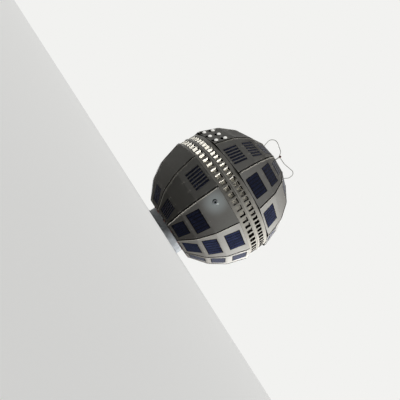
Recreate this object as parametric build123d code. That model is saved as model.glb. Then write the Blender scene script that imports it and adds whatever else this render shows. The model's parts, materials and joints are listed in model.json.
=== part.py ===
"""Spin-stabilised communications satellite of the first years of space flight.

A faceted ball of 72 flat panels stands on the short hoop that held it to its
rocket.  Two belts of microwave ports run round its waist, and a wire antenna
for commands stands on its top cap.

Millimetres, +Z up along the spin axis, origin on the floor under the axis.
Azimuths are in degrees about +Z, and 0 is +X.
"""
import os
from math import cos, hypot, radians, sin, tan

from build123d import *

os.makedirs("parts", exist_ok=True)

# The ball: panel corners lie on a sphere, 12 columns round and 3 rows to each pole
ball_radius = 438.0
column_count = 12
column_turn = 360 / column_count
half_turn = radians(column_turn / 2)
row_edge_latitudes = (8.5, 27.0, 42.7, 61.0)
panel_thickness = 4.0
column_seam = 6.0
row_seam = 2.4
waist_seam = 4.0
cap_seam = 4.4
shell_thickness = 5.0

# The launch hoop under the bottom cap
hoop_outer_radius = 158.0
hoop_wall = 5.0
hoop_height = 38.0
hoop_lip_reach = 4.0
hoop_lip_height = 4.0
spacer_count = 12
spacer_height = 5.0
spacer_length = 16.0
spacer_width = 8.0

# The waist: two belts of ports with a rib between them
belt_radius = 417.0
belt_inner_radius = 385.0
rib_half_height = 3.0
rib_reach = 4.0
port_depth = 22.0

# Solar strips lie in a shallow pocket of the panel
pocket_depth = 1.0
pocket_margin = 2.0
strip_thickness = 1.6
strips_per_panel = 6

# The command antenna on the top cap
mast_radius = 4.0
mast_height = 128.0
mast_foot_radius = 16.0
mast_foot_height = 5.0
hub_radius = 8.0
hub_height = 14.0
wire_radius = 2.4
insulator_radius = 7.0
insulator_height = 12.0

# Courses of the antenna wires: azimuth, corners from hub to insulator, bend radii.
# A corner is its reach from the axis and its height over the cap.
wire_courses = (
    (-165.0, ((4.0, 131.0), (26.0, 158.0), (112.0, 172.0), (139.0, 128.0), (105.0, 8.0)), (24.0, 38.0, 44.0)),
    (15.0, ((4.0, 131.0), (60.0, 137.0), (156.0, 175.0), (162.0, 118.0), (105.0, 8.0)), (70.0, 24.0, 44.0)),
)
insulator_reach = 105.0

# Round light detectors on one panel, and one sensor window on another
detector_radius = 12.5
detector_height = 11.0
detector_chamfer = 4.0
detector_places = ((-76, 30), (0, 30), (76, 30), (-76, 88), (0, 88), (76, 88))
sensor_place = (46, 57)
sensor_radius = 12.0
sensor_window_radius = 6.5
sensor_height = 4.0

# Flats round a small turned piece, and round the thin antenna wire
small_round_flats = 24
wire_flats = 8

# Heavy electronics canister on the axis
canister_radius = 150.0
canister_height = 420.0
canister_stub_radius = 60.0

# Ports: belt, side, count, azimuth of one port, width, height, gap from the waist
port_rows = (
    ("belt_upper", 1, 84, -84.35, 24.0, 41.0, 8.0),
    ("belt_lower", -1, 66, -84.9, 29.5, 41.0, 11.0),
)

# Solar arrays by row: row, start above the row's lower edge, height, width
array_rows = (
    (0, 18.5, 88.0, 120.0),
    (1, 11.0, 84.0, 118.0),
    (2, 13.5, 100.0, 77.0),
)

# Width of a strip as a share of its pitch: letter in the panel map, share
strip_shares = {"s": 0.60, "c": 0.84}

# Panel map, one letter for each column from azimuth -165 upwards by 30 degrees:
# s spaced strips, c close strips, - bare panel, d detectors, w sensor window
panel_map = (
    # side, row, columns
    (1, 0, "sdsccccccccc"),
    (1, 1, "s-sc-cc-cc-c"),
    (1, 2, "sssccccccccc"),
    (-1, 0, "s-swccc-cccc"),
    (-1, 1, "s--cccc--ccc"),
    (-1, 2, "sssccccccccc"),
)
first_column_azimuth = -165.0

cap_height = ball_radius * sin(radians(row_edge_latitudes[-1]))
ball_centre = hoop_height + spacer_height + cap_height
top_of_cap = ball_centre + cap_height


def apothem_point(latitude):
    """Radius to the middle of a facet's edge, and its height over the waist."""
    reach = ball_radius * cos(radians(latitude)) * cos(half_turn)
    return Vector(reach, ball_radius * sin(radians(latitude)))


row_edges = [apothem_point(latitude) for latitude in row_edge_latitudes]


def facet_length(row):
    return (row_edges[row + 1] - row_edges[row]).length


def facet_plane(side, row, azimuth):
    """Plane on a facet, +Z outwards and +Y towards the pole, at its lower edge."""
    run = (row_edges[row + 1] - row_edges[row]).normalized()
    turn = radians(azimuth)
    outward = Vector(cos(turn), sin(turn), 0)
    across = Vector(-sin(turn), cos(turn), 0)
    start = outward * row_edges[row].X
    start += Vector(0, 0, ball_centre + side * row_edges[row].Y)
    normal = outward * run.Y - Vector(0, 0, side * run.X)
    return Plane(origin=start, x_dir=across * side, z_dir=normal)


def panel_outline(row):
    """A flat panel's outline: the facet less half a seam on every side."""
    length = facet_length(row)
    low_half = row_edges[row].X * tan(half_turn)
    high_half = row_edges[row + 1].X * tan(half_turn)
    lean = (low_half - high_half) / length
    side_gap = column_seam / 2 * hypot(1, lean)
    low_gap = waist_seam / 2 if row == 0 else row_seam / 2
    high_gap = cap_seam / 2 if row == len(array_rows) - 1 else row_seam / 2
    low = low_half - lean * low_gap - side_gap
    high = high_half + lean * high_gap - side_gap
    top = length - high_gap
    return Polyline((-low, low_gap), (low, low_gap), (high, top), (-high, top), close=True)


def array_face(row, margin):
    start, height, width = array_rows[row][1:]
    size = Rectangle(width + 2 * margin, height + 2 * margin)
    return Pos(0, start + height / 2, 0) * size


def make_panel(row, letter):
    """One flat panel in its own plane: outer face at zero, back face below."""
    panel = extrude(make_face(panel_outline(row)), -panel_thickness)
    if letter in strip_shares:
        panel -= extrude(array_face(row, pocket_margin), -pocket_depth)
    if letter == "w":
        window = Pos(*sensor_place) * round_face(sensor_window_radius)
        panel -= extrude(window, -panel_thickness)
    return panel


def make_strips(row, letter):
    """Six solar strips side by side, seated on the floor of their pocket."""
    start, height, width = array_rows[row][1:]
    pitch = width / strips_per_panel
    strip = Rectangle(pitch * strip_shares[letter], height)
    middle = start + height / 2
    first = -(strips_per_panel - 1) / 2 * pitch
    places = [Pos(first + pitch * number, middle) for number in range(strips_per_panel)]
    return [extrude(Pos(0, 0, -pocket_depth) * (place * strip), strip_thickness) for place in places]


def place(plane, solid):
    return plane.location * solid


def meet(first, first_run, second, second_run):
    """Point where two lines of a section cross."""
    span = second - first
    scale = first_run.X * second_run.Y - first_run.Y * second_run.X
    along = (span.X * second_run.Y - span.Y * second_run.X) / scale
    return first + first_run * along


def inset_section(depth):
    """The ball's section moved inwards by a depth, from the belt to the cap."""
    level = Vector(1, 0)
    lines = [(row_edges[0], level)]
    for row in range(len(array_rows)):
        run = (row_edges[row + 1] - row_edges[row]).normalized()
        inwards = Vector(-run.Y, run.X)
        lines.append((row_edges[row] + inwards * depth, run))
    lines.append((row_edges[-1] - Vector(0, depth), level))
    return [meet(*lines[i], *lines[i + 1]) for i in range(len(lines) - 1)]


def faceted_drum(section):
    """Solid with twelve flat sides through the corners of a section."""
    corners = []
    for point in section:
        reach = point.X / cos(half_turn)
        for column in range(column_count):
            turn = radians(column_turn * column)
            corners.append((reach * cos(turn), reach * sin(turn), point.Y))
    return ConvexPolyhedron(corners)


def make_shell():
    """Upper half of the frame under the panels, open towards the waist."""
    outer = faceted_drum(inset_section(panel_thickness))
    inner = faceted_drum(inset_section(panel_thickness + shell_thickness))
    return outer - inner


def on_side(side, upper):
    """An upper piece stays; a lower one is turned over about the X axis."""
    turned = upper if side > 0 else Rot(180, 0, 0) * upper
    return Pos(0, 0, ball_centre) * turned


def round_face(radius):
    """Face of a small round piece, with flats too short to see."""
    return RegularPolygon(radius, small_round_flats)


def make_cap():
    radius = (row_edges[-1].X - cap_seam / 2) / cos(half_turn)
    outline = RegularPolygon(radius, column_count)
    return Pos(0, 0, cap_height) * extrude(outline, -panel_thickness)


def make_belt(side, count, azimuth, width, height, gap):
    """Ring of flat-bottomed ports, one on each short side of the ring."""
    pitch = 360 / count
    outline = RegularPolygon(belt_radius, count, major_radius=False)
    outline = Rot(0, 0, azimuth + pitch / 2) * outline
    outline -= Circle(belt_inner_radius)
    thick = row_edges[0].Y - rib_half_height
    ring = Pos(0, 0, rib_half_height) * extrude(outline, thick)
    port = Box(2 * port_depth, width, height)
    level = gap + height / 2
    cutters = []
    for number in range(count):
        turn = Rot(0, 0, azimuth + pitch * number)
        cutters.append(turn * Pos(belt_radius, 0, level) * port)
    ring -= cutters
    ring = mirror(ring, about=Plane.XY) if side < 0 else ring
    return Pos(0, 0, ball_centre) * ring


def make_rib():
    count = port_rows[0][2]
    outline = RegularPolygon(belt_radius + rib_reach, count, major_radius=False)
    outline -= Circle(belt_inner_radius)
    return Pos(0, 0, ball_centre - rib_half_height) * extrude(outline, 2 * rib_half_height)


def make_hoop():
    """Thin launch hoop with a clamp lip round its open edge."""
    inner = hoop_outer_radius - hoop_wall
    lip = hoop_outer_radius + hoop_lip_reach
    section = Polyline(
        (inner, 0),
        (lip, 0),
        (lip, hoop_lip_height / 2),
        (hoop_outer_radius, hoop_lip_height + hoop_lip_reach / 2),
        (hoop_outer_radius, hoop_height),
        (inner, hoop_height),
        close=True,
    )
    return revolve(Plane.XZ * make_face(section), Axis.Z)


def make_spacers():
    block = Box(spacer_width, spacer_length, spacer_height)
    radius = hoop_outer_radius - hoop_wall / 2
    height = hoop_height + spacer_height / 2
    turns = [Rot(0, 0, column_turn * (number + 0.5)) for number in range(spacer_count)]
    return [turn * Pos(radius, 0, height) * block for turn in turns]


def make_mast():
    foot = extrude(round_face(mast_foot_radius), mast_foot_height)
    pole = extrude(round_face(mast_radius), mast_height)
    return Pos(0, 0, top_of_cap) * (foot + pole)


def make_hub():
    hub = extrude(round_face(hub_radius), hub_height)
    hub = chamfer(hub.edges().group_by(Axis.Z)[-1], hub_radius / 3)
    return Pos(0, 0, top_of_cap + mast_height) * hub


def make_wire(azimuth, course, bends):
    """A stiff wire that arches from the hub's side down to its insulator's top."""
    corners = [Vector(reach, 0, top_of_cap + height) for reach, height in course]
    route = FilletPolyline(*corners, radius=bends)
    start = Plane(origin=route @ 0, z_dir=route % 0)
    section = start * RegularPolygon(wire_radius, wire_flats)
    wire = Rot(0, 0, azimuth) * sweep(section, path=route)
    return wire - make_hub() - make_insulators()


def make_insulators():
    reach = insulator_reach + wire_radius
    body = extrude(round_face(insulator_radius), insulator_height)
    body = chamfer(body.edges().group_by(Axis.Z)[-1], insulator_radius / 4)
    return [Rot(0, 0, row[0]) * Pos(reach, 0, top_of_cap) * body for row in wire_courses]


def make_detectors(plane):
    body = extrude(round_face(detector_radius), detector_height)
    body = chamfer(body.edges().group_by(Axis.Z)[-1], detector_chamfer)
    return [place(plane, Pos(x, y) * body) for x, y in detector_places]


def make_sensor(plane):
    collar = extrude(round_face(sensor_radius) - round_face(sensor_window_radius), sensor_height)
    return place(plane, Pos(*sensor_place) * collar)


def make_canister():
    """Heavy block on the axis, held at both ends by stubs to the frame."""
    deck = cap_height - panel_thickness - shell_thickness
    body = extrude(round_face(canister_radius), canister_height / 2, both=True)
    stubs = extrude(round_face(canister_stub_radius), deck, both=True)
    return Pos(0, 0, ball_centre) * (body + stubs)


def save(name, solids):
    solids = solids if isinstance(solids, (list, tuple)) else [solids]
    flat = [solid for shape in solids for solid in shape.solids()]
    export_step(Compound(children=flat), f"parts/{name}.step")
    print(name, len(flat), "solids")


side_names = {1: "upper", -1: "lower"}
strips = {}
for side in (1, -1):
    for column in range(column_count):
        azimuth = first_column_azimuth + column_turn * column
        gore = []
        for panel_side, row, letters in panel_map:
            if panel_side != side:
                continue
            plane = facet_plane(side, row, azimuth)
            letter = letters[column]
            gore.append(place(plane, make_panel(row, letter)))
            if letter in strip_shares:
                row_strips = strips.setdefault((side, row), [])
                row_strips += [place(plane, strip) for strip in make_strips(row, letter)]
            if letter == "d":
                save("light_detectors", make_detectors(plane))
            if letter == "w":
                save("sensor_collar", make_sensor(plane))
        save(f"panels_{side_names[side]}_{column + 1:02d}", gore)
    save(f"shell_{side_names[side]}", on_side(side, make_shell()))
    save(f"cap_{side_names[side]}", on_side(side, make_cap()))

for (side, row), solids in strips.items():
    save(f"solar_strips_{side_names[side]}_row_{row + 1}", solids)

for name, *sizes in port_rows:
    save(name, make_belt(*sizes))
save("belt_rib", make_rib())
save("launch_hoop", make_hoop())
save("hoop_spacers", make_spacers())
save("antenna_mast", make_mast())
save("antenna_hub", make_hub())
for number, (azimuth, course, bends) in enumerate(wire_courses, 1):
    save(f"antenna_wire_{number}", make_wire(azimuth, course, bends))
save("antenna_insulators", make_insulators())
save("equipment_canister", make_canister())
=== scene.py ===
# %% [markdown]
# A ball-shaped communications satellite of the first years of space flight.
# Seventy-two flat panels, most of them covered in solar cells, close the ball.
# Two belts of microwave ports run round its waist, a wire antenna stands on
# top, and the launch hoop that held it to its rocket is its foot.
# The solids come from the construction model.  This notebook gives them their
# finishes, and adds what is too fine for the construction model: the cells,
# the port linings, the screws, the lines along the seams and the lenses.

import json
from math import cos, pi, radians, sin, tan

import bmesh
import bpy
from mathutils import Matrix, Vector

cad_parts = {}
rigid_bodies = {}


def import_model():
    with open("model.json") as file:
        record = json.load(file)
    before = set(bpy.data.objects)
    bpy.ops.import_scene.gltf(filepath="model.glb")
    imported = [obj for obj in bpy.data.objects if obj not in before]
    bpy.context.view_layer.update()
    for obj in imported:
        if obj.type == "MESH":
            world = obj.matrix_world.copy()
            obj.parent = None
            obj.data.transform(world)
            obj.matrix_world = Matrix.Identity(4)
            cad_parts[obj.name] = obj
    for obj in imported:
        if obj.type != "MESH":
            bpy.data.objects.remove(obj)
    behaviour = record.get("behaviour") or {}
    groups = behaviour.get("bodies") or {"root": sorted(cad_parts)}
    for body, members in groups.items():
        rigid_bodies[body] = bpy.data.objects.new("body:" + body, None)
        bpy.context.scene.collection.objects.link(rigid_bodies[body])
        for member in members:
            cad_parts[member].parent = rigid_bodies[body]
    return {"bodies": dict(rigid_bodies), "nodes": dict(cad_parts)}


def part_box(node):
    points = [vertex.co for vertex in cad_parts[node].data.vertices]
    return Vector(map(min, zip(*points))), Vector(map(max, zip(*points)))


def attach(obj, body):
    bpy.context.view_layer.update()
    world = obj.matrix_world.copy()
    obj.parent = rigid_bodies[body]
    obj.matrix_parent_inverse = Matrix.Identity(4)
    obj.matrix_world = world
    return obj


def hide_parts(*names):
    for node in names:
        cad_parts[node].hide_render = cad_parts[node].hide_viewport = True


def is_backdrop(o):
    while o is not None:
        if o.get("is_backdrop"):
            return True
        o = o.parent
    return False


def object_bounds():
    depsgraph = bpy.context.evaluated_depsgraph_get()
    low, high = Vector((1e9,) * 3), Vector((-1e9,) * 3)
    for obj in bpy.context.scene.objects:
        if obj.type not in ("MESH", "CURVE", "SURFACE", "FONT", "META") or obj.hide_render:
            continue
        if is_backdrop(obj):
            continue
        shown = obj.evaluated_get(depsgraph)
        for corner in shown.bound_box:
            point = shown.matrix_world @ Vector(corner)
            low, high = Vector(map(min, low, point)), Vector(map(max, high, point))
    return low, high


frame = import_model()
solid_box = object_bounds()
nodes = frame["nodes"]
body = list(frame["bodies"])[0]
mm = 0.001
print(len(nodes), "solids to finish on", body)

# %% [markdown]
# The facets follow a rule, so a piece on a facet needs only its side, row and
# column.  Panel corners lie on a sphere.  Twelve columns go round, and three
# rows climb from the belt to each cap.  The height of the waist is read from
# the rib between the belts.

# %% Where the facets are
column_count = 12
column_turn = 360 / column_count
half_turn = radians(column_turn / 2)
ball_radius = 438 * mm
row_edge_latitudes = (8.5, 27.0, 42.7, 61.0)
first_column_azimuth = -165.0
rib_low, rib_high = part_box("belt_rib")
waist = (rib_low.z + rib_high.z) / 2

panel_map = (
    # side, row, letters: s spaced strips, c close strips, others carry none
    (1, 0, "sdsccccccccc"),
    (1, 1, "s-sc-cc-cc-c"),
    (1, 2, "sssccccccccc"),
    (-1, 0, "s-swccc-cccc"),
    (-1, 1, "s--cccc--ccc"),
    (-1, 2, "sssccccccccc"),
)


def edge_point(latitude):
    """Reach of the middle of a facet's edge, and its height over the waist."""
    reach = ball_radius * cos(radians(latitude)) * cos(half_turn)
    return Vector((reach, ball_radius * sin(radians(latitude))))


row_edges = [edge_point(latitude) for latitude in row_edge_latitudes]


def facet_length(row):
    return (row_edges[row + 1] - row_edges[row]).length


def facet_frame(side, row, column):
    """Matrix of a facet: X across, Y to the pole, Z out, at its lower edge."""
    run = (row_edges[row + 1] - row_edges[row]).normalized()
    turn = radians(first_column_azimuth + column_turn * column)
    ahead = Vector((cos(turn), sin(turn), 0))
    across = Vector((-sin(turn), cos(turn), 0)) * side
    start = ahead * row_edges[row].x + Vector((0, 0, waist + side * row_edges[row].y))
    outward = ahead * run.y - Vector((0, 0, side * run.x))
    upward = outward.cross(across)
    matrix = Matrix((across, upward, outward)).transposed().to_4x4()
    matrix.translation = start
    return matrix


print("waist at", round(waist, 3), "m; facets", [round(facet_length(row), 3) for row in range(3)])

# %% [markdown]
# Every material below starts from a sprayed, moulded or machined finish on the
# real object, and is named for it.  A few helpers keep them readable.  One turns
# a screen colour into the linear light values that shaders use, one adds a node
# with its settings and links, and one starts a material with its main shader.
# No real finish is all one colour or one gloss, so the last two make blotches of
# two close tones and let the gloss and a fine relief follow a noise too.

# %% Helpers for materials
def linear(code):
    """Linear colour of an sRGB hex code."""
    values = []
    for start in (0, 2, 4):
        value = int(code[start:start + 2], 16) / 255
        values.append(value / 12.92 if value <= 0.04045 else ((value + 0.055) / 1.055) ** 2.4)
    return (*values, 1.0)


def add(tree, kind, inputs=None, **settings):
    """Add a node with its settings; an input takes a value or another node's output."""
    node = tree.nodes.new(kind)
    for name, value in settings.items():
        setattr(node, name, value)
    for name, value in (inputs or {}).items():
        if isinstance(value, bpy.types.NodeSocket):
            tree.links.new(value, node.inputs[name])
        else:
            node.inputs[name].default_value = value
    return node


def start_material(name, **shader_values):
    """A material with a main shader; returns the material, its tree and the shader."""
    material = bpy.data.materials.new(name)
    material.use_nodes = True
    tree = material.node_tree
    tree.nodes.clear()
    shader = add(tree, "ShaderNodeBsdfPrincipled", shader_values)
    add(tree, "ShaderNodeOutputMaterial", {"Surface": shader.outputs[0]})
    return material, tree, shader


tone_range = (0.35, 0.65)  # the part of the noise over which the two tones blend
gloss_range = (0.3, 0.7)
gloss_play = 0.15
relief_strength = 0.6


def spots(tree, size):
    """Soft noise whose spots are about one size across, in metres."""
    place = add(tree, "ShaderNodeTexCoord")
    wanted = {"Vector": place.outputs["Object"], "Scale": 1 / size, "Detail": 3.0}
    return add(tree, "ShaderNodeTexNoise", wanted).outputs["Fac"]


def blotches(tree, size, low, high):
    """Spots of one size in two close tones: their colour, and the noise behind it."""
    noise = spots(tree, size)
    ramp = add(tree, "ShaderNodeValToRGB", {"Fac": noise})
    for element, position, code in zip(ramp.color_ramp.elements, tone_range, (low, high)):
        element.position = position
        element.color = linear(code)
    return ramp.outputs["Color"], noise


def surface(tree, shader, colour, noise, roughness, height=None, depth=0.0):
    """Give a shader its colour, a gloss that is uneven with a noise, and relief in metres."""
    tree.links.new(colour, shader.inputs["Base Color"])
    low, high = roughness * (1 - gloss_play), roughness * (1 + gloss_play)
    wanted = {"Value": noise, "From Min": gloss_range[0], "From Max": gloss_range[1]}
    gloss = add(tree, "ShaderNodeMapRange", {**wanted, "To Min": low, "To Max": high})
    tree.links.new(gloss.outputs["Result"], shader.inputs["Roughness"])
    if height is None:
        return
    relief = {"Height": height, "Distance": depth, "Strength": relief_strength}
    bump = add(tree, "ShaderNodeBump", relief)
    tree.links.new(bump.outputs["Normal"], shader.inputs["Normal"])


print("white is", linear("ffffff"))

# %% [markdown]
# The panels are aluminium plates sprayed with a ceramic coat that keeps the
# ball cool.  The coat is matt and warm grey, a little uneven from the spray
# gun, with a fine grain like eggshell.  The narrow side walls of a plate are
# painted black as shade, so the seams and the pockets are outlined in painted
# shade.  A wall is told from a face by its normal: the normal of a face points
# away from the ball's middle.  Round the sensor the coat is painted paler, in a
# patch with a soft edge, as a painted sheen.  Toward the caps the coat is
# painted darker with the height off the waist, as painted shade.

# %% Where the coat gets painted shade, painted sheen or black
wall_slant = 0.6  # a wall's normal has less of the way out of the ball than this
cap_shade_start = 110 * mm
cap_shade_full = 360 * mm
sensor_facet = facet_frame(-1, 0, 3)
sensor_place = (46 * mm, 57 * mm)
patch_inner = 20 * mm
patch_outer = 85 * mm


# Painted shade: the side walls of the plates, in the seams and the pockets, are painted black.
def painted_wall_shade(tree):
    """One where the surface stands at right angles to the ball's own surface."""
    place = add(tree, "ShaderNodeTexCoord").outputs["Object"]
    arm = add(tree, "ShaderNodeVectorMath", {0: place, 1: (0, 0, waist)}, operation="SUBTRACT")
    away = add(tree, "ShaderNodeVectorMath", {0: arm.outputs[0]}, operation="NORMALIZE")
    facing = add(tree, "ShaderNodeNewGeometry").outputs["True Normal"]
    share = add(tree, "ShaderNodeVectorMath", {0: away.outputs[0], 1: facing}, operation="DOT_PRODUCT")
    slant = {0: share.outputs["Value"], 1: wall_slant}
    return add(tree, "ShaderNodeMath", slant, operation="LESS_THAN").outputs[0]


# Painted sheen: the coat round the sensor is painted paler, fading out over the patch.
def painted_sheen_patch(tree):
    """One near the sensor, going to zero at the outer edge of the patch."""
    place = add(tree, "ShaderNodeTexCoord").outputs["Object"]
    point = sensor_facet @ Vector((*sensor_place, 0))
    reach = add(tree, "ShaderNodeVectorMath", {0: place, 1: point}, operation="DISTANCE")
    wanted = {"Value": reach.outputs["Value"], "From Min": patch_outer, "From Max": patch_inner}
    return add(tree, "ShaderNodeMapRange", wanted, interpolation_type="SMOOTHSTEP").outputs["Result"]


# Painted shade: the coat is painted darker toward either cap.
def painted_cap_shade(tree):
    """Zero near the waist, rising to one toward either cap."""
    place = add(tree, "ShaderNodeTexCoord").outputs["Object"]
    axes = add(tree, "ShaderNodeSeparateXYZ", {"Vector": place})
    height = add(tree, "ShaderNodeMath", {0: axes.outputs["Z"], 1: waist}, operation="SUBTRACT")
    reach = add(tree, "ShaderNodeMath", {0: height.outputs[0]}, operation="ABSOLUTE")
    wanted = {"Value": reach.outputs[0], "From Min": cap_shade_start, "From Max": cap_shade_full}
    return add(tree, "ShaderNodeMapRange", wanted, interpolation_type="SMOOTHSTEP").outputs["Result"]


print("painted sheen patch reaches", round(patch_outer / mm), "mm from the sensor")

# %% [markdown]
# The coat starts as clouds from the spray gun with specks over them.  Then three
# masks lay other colours on it, one after another: the painted shade toward the
# caps, the painted sheen round the sensor and last the black of the walls, which
# is painted shade too and hides the rest.

# %% Ceramic coat on aluminium, sprayed
spray_cloud = 90 * mm
spray_speck = 7 * mm
eggshell_grain = 2.5 * mm
eggshell_depth = 0.15 * mm
coat_roughness = 0.5


def ceramic_coat():
    """Matt warm grey that reads as sprayed: soft clouds, fine grain and almost no shine."""
    material, tree, shader = start_material(
        "sprayed ceramic coat, warm grey", **{"Specular IOR Level": 0.06}
    )
    clouds, spray = blotches(tree, spray_cloud, "9b9994", "a9a8a3")
    specks, _ = blotches(tree, spray_speck, "9e9c97", "a7a6a2")
    mix = add(tree, "ShaderNodeMix", {"Factor": 0.4, "A": clouds, "B": specks}, data_type="RGBA")
    colour = mix.outputs["Result"]
    # The masks paint shade toward the caps, a sheen round the sensor and shade on the plates' walls.
    for mask, code in ((painted_cap_shade, "827f7a"), (painted_sheen_patch, "d2d9d8"), (painted_wall_shade, "12100f")):
        layer = {"Factor": mask(tree), "A": colour, "B": linear(code)}
        colour = add(tree, "ShaderNodeMix", layer, data_type="RGBA").outputs["Result"]
    grain = spots(tree, eggshell_grain)
    surface(tree, shader, colour, spray, coat_roughness, grain, eggshell_depth)
    return material


panel_coat = ceramic_coat()
print("made", panel_coat.name)

# %% [markdown]
# Solar cells are slices of silicon under a clear cover plate.  Silicon looks
# almost black with a violet cast, and the cover adds a smooth, cool gloss.
# Fine silver fingers gather the current; each cell carries its own UV map, so
# the fingers run the same way on every cell.  Real fingers are a few hairs wide,
# too fine to show, so five broader ones are drawn on a cell.

# %% Silicon under a cover plate
fingers_per_cell = 5
finger_share = 0.10
silicon_cloud = 35 * mm
cover_roughness = 0.18


def silicon():
    """Blue-black with faint silver stripes, and the smooth gloss of a cover plate."""
    material, tree, shader = start_material(
        "silicon cell under clear cover", **{"Specular IOR Level": 0.06}
    )
    uv = add(tree, "ShaderNodeUVMap", uv_map="UVMap")
    axes = add(tree, "ShaderNodeSeparateXYZ", {"Vector": uv.outputs["UV"]})
    count = {0: axes.outputs["X"], 1: fingers_per_cell}
    across = add(tree, "ShaderNodeMath", count, operation="MULTIPLY")
    part = add(tree, "ShaderNodeMath", {0: across.outputs[0]}, operation="FRACT")
    finger = add(tree, "ShaderNodeMath", {0: part.outputs[0], 1: finger_share}, operation="LESS_THAN")
    tint, noise = blotches(tree, silicon_cloud, "20263c", "29304d")
    stripes = {"Factor": finger.outputs[0], "A": tint, "B": linear("454a62")}
    mix = add(tree, "ShaderNodeMix", stripes, data_type="RGBA")
    surface(tree, shader, mix.outputs["Result"], noise, cover_roughness)
    return material


cell_silicon = silicon()
print("made", cell_silicon.name)

# %% [markdown]
# Most other finishes are one plain coat: an enamel, a paint, a moulded resin or
# an anodised skin.  One function makes them all from two close tones, the size
# of their blotches, a roughness and a specular level.  The grain is a fraction
# of the blotches, and very shallow.
# The belts are machined from magnesium and enamelled in the warm grey of the
# panels.  Inside each port one side wall is painted bright cream as painted
# light, and the wall that faces it and the ceiling are painted black as painted
# shade, so a belt flashes bright when seen from one side and shows dark slots
# when seen from the other.  The floor and the end walls keep the grey of the belt.

# %% Plain coats
grain_share = 1 / 8


def plain_coat(name, low, high, size, roughness, specular=0.2, grain_depth=1 / 25):
    """A coat in two close tones; the depth is a share of the grain's size."""
    material, tree, shader = start_material(name, **{"Specular IOR Level": specular})
    colour, noise = blotches(tree, size, low, high)
    grain_size = size * grain_share
    surface(tree, shader, colour, noise, roughness, spots(tree, grain_size), grain_size * grain_depth)
    return material


# The belt's soft shine follows its round wall.
belt_enamel = plain_coat("satin enamel on magnesium, grey", "95928a", "a09d95", 40 * mm, 0.4, 0.5)
# Painted light: the brightest thing on the ball, it makes the far ports flash.
lit_wall_cream = plain_coat("cream, painted light on a port wall", "ebe6d7", "f4f1e7", 15 * mm, 0.45)
# Painted shade, with no shine at all, so a port reads as a deep slot.
shaded_wall_black = plain_coat("black, painted shade in the ports", "0b0a09", "141210", 15 * mm, 0.8, 0.0)
# A little duller than the belt, as enamel is inside a pocket.
port_floor = plain_coat("satin enamel in the ports, grey", "95928a", "a09d95", 25 * mm, 0.5, 0.3)
# Painted shade: a dark disc set to one side of each dome stands for its shaded side.
dish_shade_black = plain_coat("black, painted shade beside the domes", "0b0a0c", "121113", 8 * mm, 0.6, 0.0)
# The dark line beside each long edge.
gasket_rubber = plain_coat("black rubber gasket", "0d0c0c", "171615", 20 * mm, 0.7, 0.0)
# Seen only in the depth of the seams.
seam_black = plain_coat("dull black frame paint", "100e0d", "1b1816", 30 * mm, 0.75, 0.0)
# Almost black under the cells, with the faint shine of a moulding.
strip_resin = plain_coat(
    "black glass-fibre resin, moulded", "0e0c10", "151317", 12 * mm, 0.5, 0.08, 1 / 30
)
# The thin light line beside each seam.
edge_aluminium = plain_coat("bare aluminium lip, lacquered", "a3a097", "b0ada4", 9 * mm, 0.5)
# A brighter glint between the two belts.
rib_aluminium = plain_coat("bare aluminium rib, brushed", "a19e95", "afaca3", 9 * mm, 0.35, 1.0)
# A small warm accent at the antenna's joints and on the hoop's spacers.
brown_resin = plain_coat("red-brown phenolic resin, moulded", "5c3a33", "6e473e", 5 * mm, 0.5)
# Painted shade: a dark, faintly green disc set off to one side of the sensor.
painted_shade_grey = plain_coat("dark grey, painted shade beside the sensor", "1c2421", "28302c", 5 * mm, 0.6, 0.0)
# Smooth and nearly black, with one clear highlight.
lens_dark = plain_coat("smoked glass lens", "16191d", "20242a", 6 * mm, 0.12, 0.6)
print("the belt's coat is", belt_enamel.name)

# %% [markdown]
# The hoop is turned aluminium, so its wall carries fine rings from the tool.
# Rings that run level round the hoop depend only on height, and a wave along Z
# draws them.  Real tool marks are a tenth of a millimetre apart, too fine to
# show, so they are drawn about nine millimetres apart.  A wave texture turns
# twenty radians for each unit of its scale, which sets the scale for a pitch.

# %% Turned aluminium
ring_pitch = 9.42 * mm
ring_depth = 0.05 * mm
hoop_cloud = 22 * mm
hoop_roughness = 0.45


def turned_aluminium():
    """Pale grey with a soft shine, broken into level bands by the tool marks."""
    material, tree, shader = start_material(
        "turned aluminium", Metallic=0.15, **{"Specular IOR Level": 0.2}
    )
    place = add(tree, "ShaderNodeTexCoord")
    rings = add(
        tree, "ShaderNodeTexWave",
        {"Vector": place.outputs["Object"], "Scale": 2 * pi / 20 / ring_pitch, "Distortion": 0.6},
        bands_direction="Z",
    )
    colour, noise = blotches(tree, hoop_cloud, "a0a4a8", "b8bcc0")
    surface(tree, shader, colour, noise, hoop_roughness, rings.outputs["Fac"], ring_depth)
    return material


hoop_aluminium = turned_aluminium()
print("made", hoop_aluminium.name)

# %% [markdown]
# The other metals are small: wire, screws, mirrors and the canister inside the
# ball.  A real metal has no colour under its shine, so they are fully metallic
# and their two tones tint what they reflect.

# %% Small metals
metal_grain_depth = 1 / 80


def metal(name, low, high, size, roughness):
    """A metal in two close tones with a very shallow grain."""
    material, tree, shader = start_material(name, Metallic=1.0)
    colour, noise = blotches(tree, size, low, high)
    grain_size = size * grain_share
    depth = grain_size * metal_grain_depth
    surface(tree, shader, colour, noise, roughness, spots(tree, grain_size), depth)
    return material


# A thin grey line with a dull glint.
wire_silver = metal("silver-plated steel wire, tarnished", "8f8f8a", "a5a5a0", 8 * mm, 0.35)
# Small pale dots along the edges of the panels.
screw_steel = metal("stainless steel, passivated", "9b9994", "b5b3ad", 4 * mm, 0.4)
# Plain sheet, hidden inside the ball.
canister_metal = metal("sheet aluminium, plain", "b4b5b7", "c4c5c7", 30 * mm, 0.45)
# Bright beads that mirror the studio.
dome_silver = metal("silvered glass, polished", "f1f0ec", "fcfbf8", 10 * mm, 0.15)
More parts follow.
